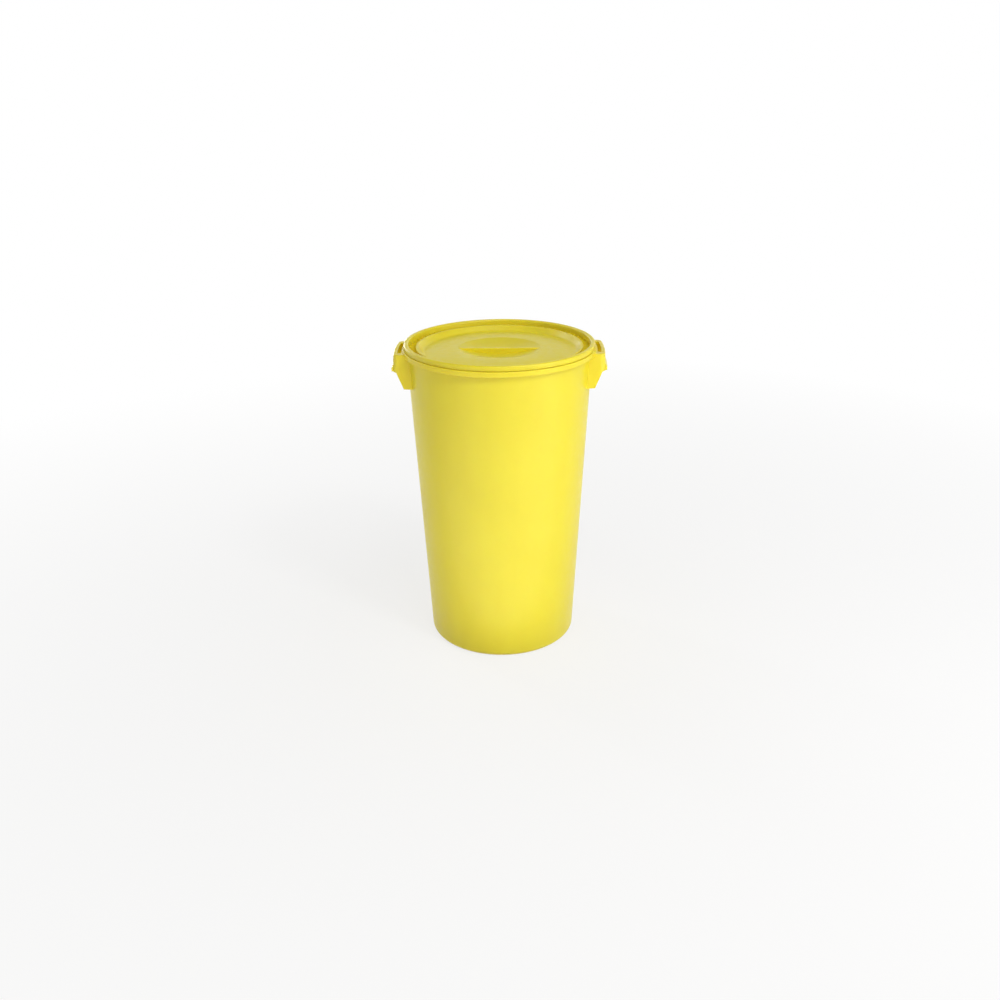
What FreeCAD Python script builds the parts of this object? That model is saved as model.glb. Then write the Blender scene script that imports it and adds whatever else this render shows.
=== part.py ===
import FreeCAD, Part
import math
import os
import re
import Sketcher

# Round medical waste bin, about sixty litres: a tapered tub with two moulded side handles and a lid
# that presses down over the tub's rim. Millimetres, +Z up, origin at the centre of the base.

# Each size is (name, value, what it measures).
SIZES = [
    ("foot_radius", 160.6, "outer wall radius, carried down to the floor plane"),
    ("mouth_radius", 195.0, "outer wall radius at the top of the rim"),
    ("tub_height", 665.8, "floor plane to the top of the rim"),
    ("tub_wall", 2.4, "wall of the tub and its handles"),
    ("base_wall", 2.8, "thickness of the base"),
    ("base_corner", 12.0, "outer radius between base and wall"),
    ("base_rise", 6.0, "height of the raised middle of the base above the floor plane"),
    ("base_slope", 45.0, "angle of the step up to the raised middle of the base"),
    ("foot_ring", 24.2, "width of the foot ring, with the rounded corner outside it"),
    ("rim_bead", 1.4, "how far the bead that the lid closes over stands out of the rim"),
    ("rim_bead_depth", 5.0, "height of the rim bead"),
    ("rim_round", 0.8, "radius on the rim's edges"),
    ("collar_reach", 7.4, "how far the stiffening collar stands out past the mouth radius"),
    ("collar_drop", 8.8, "top of the rim down to the collar's top face"),
    ("collar_depth", 10.4, "height of the collar's outer face"),
    ("collar_round", 1.0, "radius on the collar's outer edges"),
    ("handle_step", 3.2, "collar's top face down to the handles' top face"),
    ("handle_reach", 16.8, "how far a handle stands out of the collar, at the middle of its top"),
    ("handle_bow", 582.0, "plan radius of the handle's outer wall"),
    ("handle_width", 120.0, "width of a handle across its two cheeks"),
    ("handle_depth", 35.4, "height of the handle's outer wall"),
    ("handle_draft", 4.0, "angle that the handle's sides lean out towards its open underside"),
    ("handle_corner", 12.0, "plan radius of the handle's outer corners"),
    ("handle_round", 2.4, "radius round the handle's top"),
    ("cheek_step", 1.5, "outer wall's lower edge down to where the cheek's slant begins"),
    ("cheek_shoulder", 10.2, "outer wall's lower edge in to where the cheek's slant begins"),
    ("cheek_slant", 34.0, "height of the cheek's slanted edge"),
    ("cheek_run", 14.6, "how far the slanted edge goes in towards the tub"),
    ("cheek_heel", 2.0, "fall of the cheek's lower edge from its tip to the tub"),
    ("lip_reach", 2.6, "how far the finger lip stands out of the outer wall's lower edge"),
    ("lip_face", 6.8, "height of the finger lip's outer face"),
    ("lip_fade", 8.0, "height of the slope from the lip back into the wall"),
    ("lip_width", 108.0, "length of the finger lip"),
    ("slot_margin", 7.6, "handle's outer face in to the top slot"),
    ("slot_width", 8.0, "width of the slot in the handle's top"),
    ("slot_length", 88.0, "length of the slot"),
    ("slot_round", 2.0, "corner radius of the slot"),
    ("lid_wall", 2.4, "wall of the lid"),
    ("seat_clearance", 0.5, "gap each side of the rim in the lid's groove"),
    ("skirt_gap", 0.5, "gap between the lid's skirt and the collar"),
    ("crest_round", 3.6, "radius over the lid's outer rim"),
    ("channel_drop", 18.0, "top of the rim down to the floor of the ribbed channel"),
    ("channel_width", 14.0, "width of the channel's floor"),
    ("channel_round", 1.5, "radius along the foot of the channel"),
    ("ridge_drop", 5.7, "top of the rim down to the top of the ring ridge"),
    ("ridge_width", 5.9, "width of the ridge's top, with its rounded edges"),
    ("ridge_round", 2.0, "radius along the ridge's edges"),
    ("ridge_slope", 50.0, "angle of the slope from the panel up to the ridge"),
    ("panel_drop", 17.8, "top of the rim down to the edge of the panel"),
    ("panel_crown", 5.3, "rise of the panel from its edge to its flat middle"),
    ("panel_edge_round", 8.0, "radius between panel and slope"),
    ("panel_margin", 6.0, "flat ring of the panel round the grip recess"),
    ("rib_count", 72, "ribs across the channel"),
    ("rib_thickness", 1.4, "thickness of a channel rib"),
    ("rib_inner_drop", 5.5, "top of the ridge down to the rib's top beside it"),
    ("rib_outer_drop", 8.2, "top of the rim down to the rib's top beside it"),
    ("grip_radius", 86.0, "radius of the dished grip recess"),
    ("grip_depth", 12.5, "depth of the grip recess at its middle"),
    ("grip_bar", 10.0, "width of the bar across the recess"),
    ("grip_bar_wall", 2.2, "side wall of the bar"),
    ("grip_bar_round", 1.6, "radius along the bar's top edges"),
    ("grip_bar_end", 18.0, "solid length at each end of the bar, past the hollow under it"),
]
NAMES = {name for name, _, _ in SIZES}
NEAR = 0.01

# Heights and radii that several features share, written in the names above.
TAPER = "(mouth_radius - foot_radius) / tub_height"
FOOT_INNER = "(foot_radius - foot_ring)"
RIM_OUTER = "(mouth_radius + rim_bead)"
COLLAR_OUTER = "(mouth_radius + collar_reach)"
COLLAR_TOP = "(tub_height - collar_drop)"
HANDLE_TOP = f"({COLLAR_TOP} - handle_step)"
HANDLE_LOW = f"({HANDLE_TOP} - handle_depth)"
HANDLE_ROOT = "(foot_radius - tub_wall)"
HANDLE_OUTER = f"({COLLAR_OUTER} + handle_reach)"
HANDLE_LEAN = "handle_depth * tan(handle_draft)"
BOW_AXIS = f"({HANDLE_OUTER} - handle_bow)"
PLUG_TOP = "(mouth_radius - tub_wall - seat_clearance)"
SKIRT_INNER = f"({RIM_OUTER} + seat_clearance)"
CHANNEL_FLOOR = "(tub_height - channel_drop)"
RIDGE_TOP = "(tub_height - ridge_drop)"
PANEL_EDGE = "(tub_height - panel_drop)"
PANEL_TOP = f"({PANEL_EDGE} + panel_crown)"


def wall_radius(height):
    """Text for the tub's outer wall radius at a height."""
    return f"(foot_radius + {TAPER} * ({height}))"


def plug_radius(height):
    """Text for the outer radius of the lid's plug wall, which follows the tub's taper."""
    return f"({PLUG_TOP} - {TAPER} * (tub_height - ({height})))"


RIDGE_OUTER = f"({plug_radius(CHANNEL_FLOOR)} - lid_wall - channel_width)"
RIDGE_INNER = f"({RIDGE_OUTER} - ridge_width)"
PANEL_OUTER = f"({RIDGE_INNER} - (panel_drop - ridge_drop) / tan(ridge_slope))"
PANEL_FLAT = "(grip_radius + panel_margin)"
SLOPE_SHIFT = "lid_wall * tan(ridge_slope / 2)"


doc = FreeCAD.newDocument("waste_bin")
sheet = doc.addObject("Spreadsheet::Sheet", "sizes")
for row, (name, size, meaning) in enumerate(SIZES, start=1):
    sheet.set(f"A{row}", meaning)
    sheet.set(f"B{row}", str(size))
    sheet.setAlias(f"B{row}", name)
doc.recompute()


def linked(text):
    """Turn each size's name in a text into a reference to its cell."""
    return re.sub(r"[a-z_]+", lambda word: ("sizes." if word[0] in NAMES else "") + word[0], text)


def number(text):
    """The present value of a text written in the sizes' names."""
    result = sheet.evalExpression(linked(text))
    return float(getattr(result, "Value", result))


def bind(feature, **properties):
    """Bind a feature's properties to texts written in the sizes' names."""
    for name, text in properties.items():
        feature.setExpression(name, linked(text))


def origin_plane(body, role):
    """The body's own origin plane with the given role."""
    return next(item for item in body.Origin.OriginFeatures if item.Role == role)


def outline(body, name, role, corners):
    """Closed sketch through corners on an origin plane of the body.

    A corner is (x, y) text. A third text is the x of the centre of the arc to the next corner.
    """
    sketch = body.newObject("Sketcher::SketchObject", name)
    sketch.AttachmentSupport = (origin_plane(body, role), [""])
    sketch.MapMode = "FlatFace"
    points = [FreeCAD.Vector(number(corner[0]), number(corner[1]), 0) for corner in corners]
    ends = []
    for index, corner in enumerate(corners):
        start = points[index]
        end = points[(index + 1) % len(points)]
        if len(corner) == 2:
            sketch.addGeometry(Part.LineSegment(start, end))
            ends.append((1, 2))
            continue
        centre_x = number(corner[2])
        spread = (end.x - centre_x) ** 2 - (start.x - centre_x) ** 2
        centre = FreeCAD.Vector(centre_x, (start.y + end.y) / 2 + spread / (2 * (end.y - start.y)), 0)
        first = math.atan2(start.y - centre.y, start.x - centre.x)
        last = math.atan2(end.y - centre.y, end.x - centre.x)
        forward = (last - first) % (2 * math.pi) < math.pi
        circle = Part.Circle(centre, FreeCAD.Vector(0, 0, 1), (start - centre).Length)
        sketch.addGeometry(Part.ArcOfCircle(circle, *((first, last) if forward else (last, first))))
        ends.append((1, 2) if forward else (2, 1))
    for index, corner in enumerate(corners):
        following = (index + 1) % len(corners)
        sketch.addConstraint(
            Sketcher.Constraint("Coincident", index, ends[index][1], following, ends[following][0])
        )
        for kind, text in zip(("DistanceX", "DistanceY"), corner):
            place = sketch.addConstraint(
                Sketcher.Constraint(kind, index, ends[index][0], number(text))
            )
            sketch.setExpression(f"Constraints[{place}]", linked(text))
        if len(corner) == 3:
            place = sketch.addConstraint(Sketcher.Constraint("DistanceX", index, 3, number(corner[2])))
            sketch.setExpression(f"Constraints[{place}]", linked(corner[2]))
    sketch.Visibility = False
    return sketch


def turned(body, kind, name, corners, axis="0", angle="360"):
    """Revolution or Groove of an outline in the XZ plane about an upright axis.

    Its corners are measured from the axis, which stands at x = axis, y = 0. A part turn is even on
    both sides of the plane.
    """
    sketch = outline(body, name + "_section", "XZ_Plane", corners)
    bind(sketch, **{"AttachmentOffset.Base.x": axis})
    feature = body.newObject("PartDesign::" + kind, name)
    feature.Profile = sketch
    feature.ReferenceAxis = (sketch, ["V_Axis"])
    feature.Midplane = True
    bind(feature, Angle=angle)
    doc.recompute()
    return feature


def straight(body, kind, name, corners, length):
    """Pad or Pocket of an outline in the XZ plane, even on both sides of it."""
    sketch = outline(body, name + "_outline", "XZ_Plane", corners)
    feature = body.newObject("PartDesign::" + kind, name)
    feature.Profile = sketch
    feature.SideType = "Symmetric"
    bind(feature, Length=length)
    doc.recompute()
    return feature


def rounded(body, name, radius, wanted):
    """Fillet on the edges of the body's present shape that a test picks."""
    base = body.Tip
    names = [f"Edge{i}" for i, edge in enumerate(base.Shape.Edges, start=1) if wanted(edge)]
    feature = body.newObject("PartDesign::Fillet", name)
    feature.Base = (base, names)
    bind(feature, Radius=radius)
    doc.recompute()
    return feature


def rings(*places):
    """Test for circular edges about the vertical axis at (radius, height) texts."""
    targets = [(number(radius), number(height)) for radius, height in places]

    def wanted(edge):
        if edge.Curve.TypeId != "Part::GeomCircle":
            return False
        centre = edge.Curve.Center
        if math.hypot(centre.x, centre.y) > NEAR:
            return False
        return any(
            abs(edge.Curve.Radius - radius) < NEAR and abs(centre.z - height) < NEAR
            for radius, height in targets
        )

    return wanted


def make_tub_shell():
    """Wall, base, foot ring, rim bead and collar as one turned section."""
    body = doc.addObject("PartDesign::Body", "tub_shell")
    bead_foot = "(tub_height - rim_bead_depth)"
    collar_under = f"({COLLAR_TOP} - tub_wall)"
    collar_skirt = f"({COLLAR_TOP} - collar_depth)"
    step_run = "base_rise / tan(base_slope)"
    step_shift = "base_wall * tan(base_slope / 2)"
    rim_inner = "mouth_radius - tub_wall"
    floor_edge = wall_radius("base_wall") + " - tub_wall"
    turned(body, "Revolution", "tub_turned", [
        ("0", "base_rise"),
        (f"{FOOT_INNER} - {step_run}", "base_rise"),
        (FOOT_INNER, "0"),
        ("foot_radius", "0"),
        (wall_radius(collar_under), collar_under),
        (f"{COLLAR_OUTER} - tub_wall", collar_under),
        (f"{COLLAR_OUTER} - tub_wall", collar_skirt),
        (COLLAR_OUTER, collar_skirt),
        (COLLAR_OUTER, COLLAR_TOP),
        (wall_radius(COLLAR_TOP), COLLAR_TOP),
        (wall_radius(bead_foot), bead_foot),
        (RIM_OUTER, f"{bead_foot} + rim_bead"),
        (RIM_OUTER, "tub_height"),
        (rim_inner, "tub_height"),
        (floor_edge, "base_wall"),
        (f"{FOOT_INNER} - {step_shift}", "base_wall"),
        (f"{FOOT_INNER} - {step_run} - {step_shift}", "base_rise + base_wall"),
        ("0", "base_rise + base_wall"),
    ])
    rounded(body, "base_corner_outer", "base_corner", rings(("foot_radius", "0")))
    rounded(body, "base_corner_inner", "base_corner - tub_wall", rings((floor_edge, "base_wall")))
    rounded(body, "collar_edges", "collar_round", rings(
        (COLLAR_OUTER, COLLAR_TOP),
        (COLLAR_OUTER, collar_skirt),
    ))
    rounded(body, "rim_edges", "rim_round", rings((RIM_OUTER, "tub_height"), (rim_inner, "tub_height")))
    return body


def handle_plan(body, name, inset, height):
    """Sketch of the handle seen from above: two cheeks, rounded corners and a bowed outer side.

    It is drawn in by inset, which leaves the centres of its arcs where they are.
    """
    half = f"(handle_width / 2 - {inset})"
    spoke = "(handle_bow - handle_corner)"
    side = "(handle_width / 2 - handle_corner)"
    corner_axis = f"({BOW_AXIS} + sqrt({spoke} ^ 2 - {side} ^ 2))"
    share = f"(handle_bow - {inset}) / {spoke}"
    bow_end = f"({BOW_AXIS} + sqrt({spoke} ^ 2 - {side} ^ 2) * {share})"
    sketch = outline(body, name, "XY_Plane", [
        (HANDLE_ROOT, "-" + half),
        (corner_axis, "-" + half, corner_axis),
        (bow_end, f"-{side} * {share}", BOW_AXIS),
        (bow_end, f"{side} * {share}", corner_axis),
        (corner_axis, half),
        (HANDLE_ROOT, half),
    ])
    bind(sketch, **{"AttachmentOffset.Base.z": height})
    return sketch


def drop(body, kind, name, sketch, length):
    """Pad or Pocket straight down from a level sketch, with the handle's draft."""
    feature = body.newObject("PartDesign::" + kind, name)
    feature.Profile = sketch
    feature.Reversed = kind == "Pad"
    bind(feature, Length=length, TaperAngle="handle_draft")
    doc.recompute()
    return feature


def make_handle():
    """Handle on the +X side: outer wall with a finger lip, two cheeks and a slotted top, open below."""
    body = doc.addObject("PartDesign::Body", "handle")
    top = number(HANDLE_TOP)
    shoulder = "cheek_step"
    tip = "(cheek_step + cheek_slant)"
    heel = "(cheek_step + cheek_slant + cheek_heel)"
    full = f"(handle_depth + {heel})"
    drop(body, "Pad", "handle_block", handle_plan(body, "handle_plan", "0", HANDLE_TOP), full)

    def top_outer(edge):
        box = edge.BoundBox
        return box.ZMin > top - NEAR and box.XMax > number(HANDLE_ROOT) + NEAR

    rounded(body, "handle_top_edge", "handle_round", top_outer)
    space = handle_plan(body, "finger_space_plan", "tub_wall", f"{HANDLE_TOP} - tub_wall")
    drop(body, "Pocket", "finger_space", space, full)

    lean_out = f"({HANDLE_OUTER} + {HANDLE_LEAN})"
    beyond = f"({lean_out} + handle_depth)"
    under = f"({HANDLE_LOW} - {full})"
    straight(body, "Pocket", "cheek_cut", [
        (beyond, HANDLE_LOW),
        (HANDLE_OUTER, HANDLE_LOW),
        (f"{lean_out} - cheek_shoulder", f"{HANDLE_LOW} - {shoulder}"),
        (f"{lean_out} - cheek_shoulder - cheek_run", f"{HANDLE_LOW} - {tip}"),
        (HANDLE_ROOT, f"{HANDLE_LOW} - {heel}"),
        (f"{HANDLE_ROOT} - handle_depth", f"{HANDLE_LOW} - {heel}"),
        (f"{HANDLE_ROOT} - handle_depth", under),
        (beyond, under),
    ], "2 * handle_width")
    low_radius = f"(handle_bow + {HANDLE_LEAN})"
    turned(body, "Revolution", "finger_lip", [
        (f"{low_radius} - tub_wall / 2", HANDLE_LOW),
        (f"{low_radius} + lip_reach", HANDLE_LOW),
        (f"{low_radius} + lip_reach", f"{HANDLE_LOW} + lip_face"),
        ("handle_bow", f"{HANDLE_LOW} + lip_face + lip_fade"),
        (f"{low_radius} - tub_wall / 2", f"{HANDLE_LOW} + lip_face"),
    ], axis=BOW_AXIS, angle="2 * asin(lip_width / 2 / handle_bow)")
    slot_outer = "(handle_bow - slot_margin)"
    turned(body, "Groove", "top_slot", [
        (f"{slot_outer} - slot_width", f"{HANDLE_TOP} - 2 * tub_wall"),
        (slot_outer, f"{HANDLE_TOP} - 2 * tub_wall"),
        (slot_outer, f"{HANDLE_TOP} + tub_wall"),
        (f"{slot_outer} - slot_width", f"{HANDLE_TOP} + tub_wall"),
    ], axis=BOW_AXIS, angle="2 * asin(slot_length / 2 / handle_bow)")

    def slot_corner(edge):
        box = edge.BoundBox
        upright = box.XLength < NEAR and box.YLength < NEAR
        return upright and abs(box.YMax) < number("slot_length / 2 + tub_wall")

    rounded(body, "slot_corners", "slot_round", slot_corner)
    return body


def make_tub(shell, handle):
    """One moulding: the shell with the handle on both sides, trimmed inside the wall."""
    core = doc.addObject("Part::Cone", "tub_core")
    bind(core, Radius1="foot_radius - tub_wall / 2", Radius2="mouth_radius - tub_wall / 2",
         Height="tub_height")
    right = doc.addObject("Part::Cut", "handle_right")
    right.Base = handle
    right.Tool = core
    left = doc.addObject("Part::Mirroring", "handle_left")
    left.Source = right
    left.Normal = FreeCAD.Vector(1, 0, 0)
    tub = doc.addObject("Part::MultiFuse", "tub")
    tub.Shapes = [shell, right, left]
    tub.Refine = True
    tub.Label = "tub"
    tub.Placement = FreeCAD.Placement()
    doc.recompute()
    return tub


def make_lid():
    """Lid: skirt and plug over the rim, ribbed channel, ring ridge, panel and dished grip with a bar."""
    body = doc.addObject("PartDesign::Body", "lid")
    crest = "(tub_height + lid_wall)"
    skirt_outer = f"({SKIRT_INNER} + lid_wall)"
    skirt_foot = f"({COLLAR_TOP} + skirt_gap)"
    plug_inner = plug_radius(CHANNEL_FLOOR) + " - lid_wall"
    under_floor = f"({CHANNEL_FLOOR} - lid_wall)"
    turned(body, "Revolution", "lid_turned", [
        ("0", f"{PANEL_TOP} - lid_wall"),
        (PANEL_FLAT, f"{PANEL_TOP} - lid_wall", PANEL_FLAT),
        (f"{PANEL_OUTER} + {SLOPE_SHIFT}", f"{PANEL_EDGE} - lid_wall"),
        (f"{RIDGE_INNER} + {SLOPE_SHIFT}", f"{RIDGE_TOP} - lid_wall"),
        (f"{RIDGE_OUTER} - lid_wall", f"{RIDGE_TOP} - lid_wall"),
        (f"{RIDGE_OUTER} - lid_wall", under_floor),
        (plug_radius(under_floor), under_floor),
        (PLUG_TOP, "tub_height"),
        (SKIRT_INNER, "tub_height"),
        (SKIRT_INNER, skirt_foot),
        (skirt_outer, skirt_foot),
        (skirt_outer, crest),
        (f"{PLUG_TOP} - lid_wall", crest),
        (plug_inner, CHANNEL_FLOOR),
        (RIDGE_OUTER, CHANNEL_FLOOR),
        (RIDGE_OUTER, RIDGE_TOP),
        (RIDGE_INNER, RIDGE_TOP),
        (PANEL_OUTER, PANEL_EDGE, PANEL_FLAT),
        (PANEL_FLAT, PANEL_TOP),
        ("0", PANEL_TOP),
    ])
    rounded(body, "crest_rounds", "crest_round", rings(
        (skirt_outer, crest),
        (f"{PLUG_TOP} - lid_wall", crest),
    ))
    rounded(body, "channel_rounds", "channel_round", rings(
        (plug_inner, CHANNEL_FLOOR),
        (RIDGE_OUTER, CHANNEL_FLOOR),
    ))
    rounded(body, "ridge_rounds", "ridge_round", rings((RIDGE_OUTER, RIDGE_TOP), (RIDGE_INNER, RIDGE_TOP)))
    rounded(body, "panel_round", "panel_edge_round", rings((PANEL_OUTER, PANEL_EDGE)))
    floor = f"({PANEL_TOP} - grip_depth)"
    middle_wall = f"({PANEL_TOP} - lid_wall / 2)"
    turned(body, "Revolution", "grip_bulge", [
        ("0", floor + " - lid_wall", "0"),
        ("grip_radius", f"{PANEL_TOP} - lid_wall"),
        ("grip_radius", middle_wall),
        ("0", middle_wall),
    ])
    turned(body, "Groove", "grip_dish", [
        ("0", floor, "0"),
        ("grip_radius", PANEL_TOP),
        ("grip_radius", f"{PANEL_TOP} + lid_wall"),
        ("0", f"{PANEL_TOP} + lid_wall"),
    ])
    straight(body, "Pad", "grip_bar", [
        ("-grip_radius", PANEL_TOP, "0"),
        ("0", floor + " - lid_wall / 2", "0"),
        ("grip_radius", PANEL_TOP),
    ], "grip_bar")
    hollow_end = "(grip_radius - grip_bar_end)"
    hollow_low = floor + " - 2 * lid_wall"
    straight(body, "Pocket", "grip_bar_hollow", [
        ("-" + hollow_end, f"{PANEL_TOP} - lid_wall"),
        (hollow_end, f"{PANEL_TOP} - lid_wall"),
        (hollow_end, hollow_low),
        ("-" + hollow_end, hollow_low),
    ], "grip_bar - 2 * grip_bar_wall")
    panel = number(PANEL_TOP)
    half_bar = number("grip_bar / 2")

    def bar_edge(edge):
        box = edge.BoundBox
        along = box.XLength > half_bar and box.YLength < NEAR and box.ZLength < NEAR
        return along and abs(box.ZMax - panel) < NEAR and abs(abs(box.YMax) - half_bar) < NEAR

    rounded(body, "grip_bar_rounds", "grip_bar_round", bar_edge)
    buried = "lid_wall / 2"
    outer_top = "(tub_height - rib_outer_drop)"
    rib = straight(body, "Pad", "channel_rib", [
        (f"{RIDGE_OUTER} - {buried}", f"{CHANNEL_FLOOR} - {buried}"),
        (f"{plug_inner} + {buried}", f"{CHANNEL_FLOOR} - {buried}"),
        (f"{plug_radius(outer_top)} - {buried}", outer_top),
        (f"{RIDGE_OUTER} - {buried}", f"{RIDGE_TOP} - rib_inner_drop"),
    ], "rib_thickness")
    ribs = body.newObject("PartDesign::PolarPattern", "channel_ribs")
    ribs.Originals = [rib]
    ribs.Axis = (rib.Profile[0], ["V_Axis"])
    ribs.Angle = 360
    bind(ribs, Occurrences="rib_count")
    body.Tip = ribs
    body.Label = "lid"
    body.Placement = FreeCAD.Placement()
    doc.recompute()
    return body


tub = make_tub(make_tub_shell(), make_handle())
lid = make_lid()

for item in doc.Objects:
    if "Invalid" in item.State or "Error" in item.State:
        raise RuntimeError(f"{item.Name} did not build: {item.State}")

os.makedirs("parts", exist_ok=True)
for piece in (tub, lid):
    if piece.Shape.isNull() or not piece.Shape.isValid() or len(piece.Shape.Solids) != 1:
        raise RuntimeError(f"{piece.Label} isn't one sound solid")
    piece.Shape.exportStep(f"parts/{piece.Label}.step")
    print(piece.Label, "volume", round(piece.Shape.Volume / 1000, 1), "cm3,", len(piece.Shape.Faces), "faces")
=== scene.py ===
"""Looks of a round medical waste bin: a tapered tub with two moulded handles and a press-on lid.

Every section is written in millimetres and scaled to the frame's metres when its mesh is finished.
"""
import logging
import math
from collections.abc import Callable, Iterable, Sequence
from dataclasses import dataclass
from enum import Enum

import bmesh
import bpy
from bmesh.types import BMEdge, BMesh, BMVert
from mathutils import Matrix, Vector


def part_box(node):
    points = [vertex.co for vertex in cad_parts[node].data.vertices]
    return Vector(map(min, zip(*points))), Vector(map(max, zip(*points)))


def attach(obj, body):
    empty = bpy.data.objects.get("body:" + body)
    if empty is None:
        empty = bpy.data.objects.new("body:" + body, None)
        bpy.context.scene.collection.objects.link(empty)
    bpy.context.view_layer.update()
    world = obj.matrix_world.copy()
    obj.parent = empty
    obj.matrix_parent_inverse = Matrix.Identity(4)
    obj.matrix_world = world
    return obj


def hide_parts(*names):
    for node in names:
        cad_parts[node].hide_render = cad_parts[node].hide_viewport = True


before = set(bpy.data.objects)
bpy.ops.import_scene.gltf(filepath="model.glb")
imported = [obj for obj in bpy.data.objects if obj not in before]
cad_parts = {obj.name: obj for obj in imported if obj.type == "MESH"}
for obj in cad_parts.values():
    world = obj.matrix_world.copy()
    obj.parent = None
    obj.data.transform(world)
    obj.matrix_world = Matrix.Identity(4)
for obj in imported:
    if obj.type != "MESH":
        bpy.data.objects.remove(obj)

MM = 0.001                  # metres in a millimetre
AROUND = 288                # facets round the bin
CORNER_FACETS = 9           # facets round a handle's corner
BOW_FACETS = 12             # facets along a handle's bow
MERGE = 0.001               # corners this near merge while a solid is made, in millimetres
WELD = 0.002                # corners this near merge in a finished piece, in millimetres
NEAR = 0.01                 # leeway when edges are picked by their place, in millimetres
BURIED = 1.0                # edges deeper than this in another solid stay sharp, in millimetres
LONG = 1.0                  # edges longer than this along an axis run along it, in millimetres
LIP_TURN = 20.0             # edges of the lip that turn by more than this are rounded, in degrees
SQUARE_TURN = 1.0           # faces that meet at more than this make a square corner, in radians
CREASE = 32.0               # edges sharper than this are shaded sharp, in degrees
LOG = logging.getLogger("waste_bin")
Point = tuple[float, float]
Place = tuple[float, float, float]
Socket = bpy.types.NodeSocket


class Cut(Enum):
    """How one solid is worked into another."""

    JOIN = "UNION"
    REMOVE = "DIFFERENCE"


class Way(Enum):
    """The side of the bin that a handle stands on."""

    RIGHT = 1
    LEFT = -1


@dataclass(frozen=True)
class Corner:
    """A corner of a turned section, in millimetres: its radius, its height and its rounding."""

    radius: float
    height: float
    rounding: float = 0.0
    facets: int = 5


def arc_corners(start: Corner, end: Corner, centre_radius: float, facets: int) -> list[Corner]:
    """Corners along an arc between two corners of a section.

    Args:
        start: The corner where the arc begins, which the list leaves out.
        end: The corner where it ends, which the list leaves out.
        centre_radius: The distance from the axis to the arc's centre.
        facets: How many straight steps the arc takes.

    Returns:
        The corners between the two ends.
    """
    spread = (end.radius - centre_radius) ** 2 - (start.radius - centre_radius) ** 2
    centre = (start.height + end.height) / 2 + spread / (2 * (end.height - start.height))
    first = math.atan2(start.height - centre, start.radius - centre_radius)
    last = math.atan2(end.height - centre, end.radius - centre_radius)
    reach = math.hypot(start.radius - centre_radius, start.height - centre)
    turns = [first + (last - first) * step / facets for step in range(1, facets)]
    return [Corner(centre_radius + reach * math.cos(turn), centre + reach * math.sin(turn))
            for turn in turns]


def round_corner(mesh: BMesh, vert: BMVert, rounding: float, facets: int) -> None:
    """Round one corner of an open outline with an arc of the given radius.

    Args:
        mesh: The mesh that holds the outline.
        vert: The corner, which has two edges.
        rounding: The arc's radius.
        facets: How many straight steps the arc takes.
    """
    towards = [(edge.other_vert(vert).co - vert.co).normalized() for edge in vert.link_edges]
    half = towards[0].angle(towards[1]) / 2
    bmesh.ops.bevel(mesh, geom=[vert], offset=rounding / math.tan(half), offset_type="OFFSET",
                    segments=facets, profile=0.5, affect="VERTICES", material=-1)


def turned(corners: Sequence[Corner]) -> BMesh:
    """Spin a section about the bin's axis into a closed solid.

    Args:
        corners: The section's corners, from one point on the axis to another.

    Returns:
        A new mesh in millimetres with its faces pointing outwards.
    """
    mesh = bmesh.new()
    verts = [mesh.verts.new((corner.radius, 0.0, corner.height)) for corner in corners]
    for start, end in zip(verts, verts[1:]):
        mesh.edges.new((start, end))
    for vert, corner in zip(verts, corners):
        if corner.rounding > 0.0:
            round_corner(mesh, vert, corner.rounding, corner.facets)
    bmesh.ops.spin(mesh, geom=mesh.verts[:] + mesh.edges[:], cent=(0, 0, 0), axis=(0, 0, 1),
                   angle=math.tau, steps=AROUND, use_merge=True, use_duplicate=False)
    bmesh.ops.remove_doubles(mesh, verts=mesh.verts, dist=MERGE)
    bmesh.ops.recalc_face_normals(mesh, faces=mesh.faces)
    return mesh


def prism(outline: Sequence[Point], half_width: float) -> BMesh:
    """Extrude an outline in the XZ plane to both sides of it.

    Args:
        outline: The outline's corners as (x, z), in millimetres.
        half_width: How far the solid reaches along +Y and -Y.

    Returns:
        A new closed mesh in millimetres.
    """
    mesh = bmesh.new()
    face = mesh.faces.new([mesh.verts.new((x, -half_width, z)) for x, z in outline])
    grown = bmesh.ops.extrude_face_region(mesh, geom=[face])["geom"]
    moved = [item for item in grown if isinstance(item, BMVert)]
    bmesh.ops.translate(mesh, vec=(0.0, 2 * half_width, 0.0), verts=moved)
    bmesh.ops.recalc_face_normals(mesh, faces=mesh.faces)
    return mesh


def swept(outline: Sequence[Point], axis_x: float, half_angle: float) -> BMesh:
    """Turn an outline in the XZ plane about an upright axis, evenly to both sides.

    Args:
        outline: The outline's corners as (x, z), in millimetres.
        axis_x: Where the axis stands on the X axis.
        half_angle: The turn to each side, in radians.

    Returns:
        A new closed mesh in millimetres.
    """
    mesh = bmesh.new()
    face = mesh.faces.new([mesh.verts.new((x, 0.0, z)) for x, z in outline])
    centre = (axis_x, 0.0, 0.0)
    start = Matrix.Rotation(-half_angle, 3, "Z")
    bmesh.ops.rotate(mesh, cent=centre, matrix=start, verts=mesh.verts)
    bmesh.ops.spin(mesh, geom=[face, *face.edges, *face.verts], cent=centre, axis=(0, 0, 1),
                   angle=2 * half_angle, steps=BOW_FACETS, use_merge=False, use_duplicate=False)
    bmesh.ops.recalc_face_normals(mesh, faces=mesh.faces)
    return mesh


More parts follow.
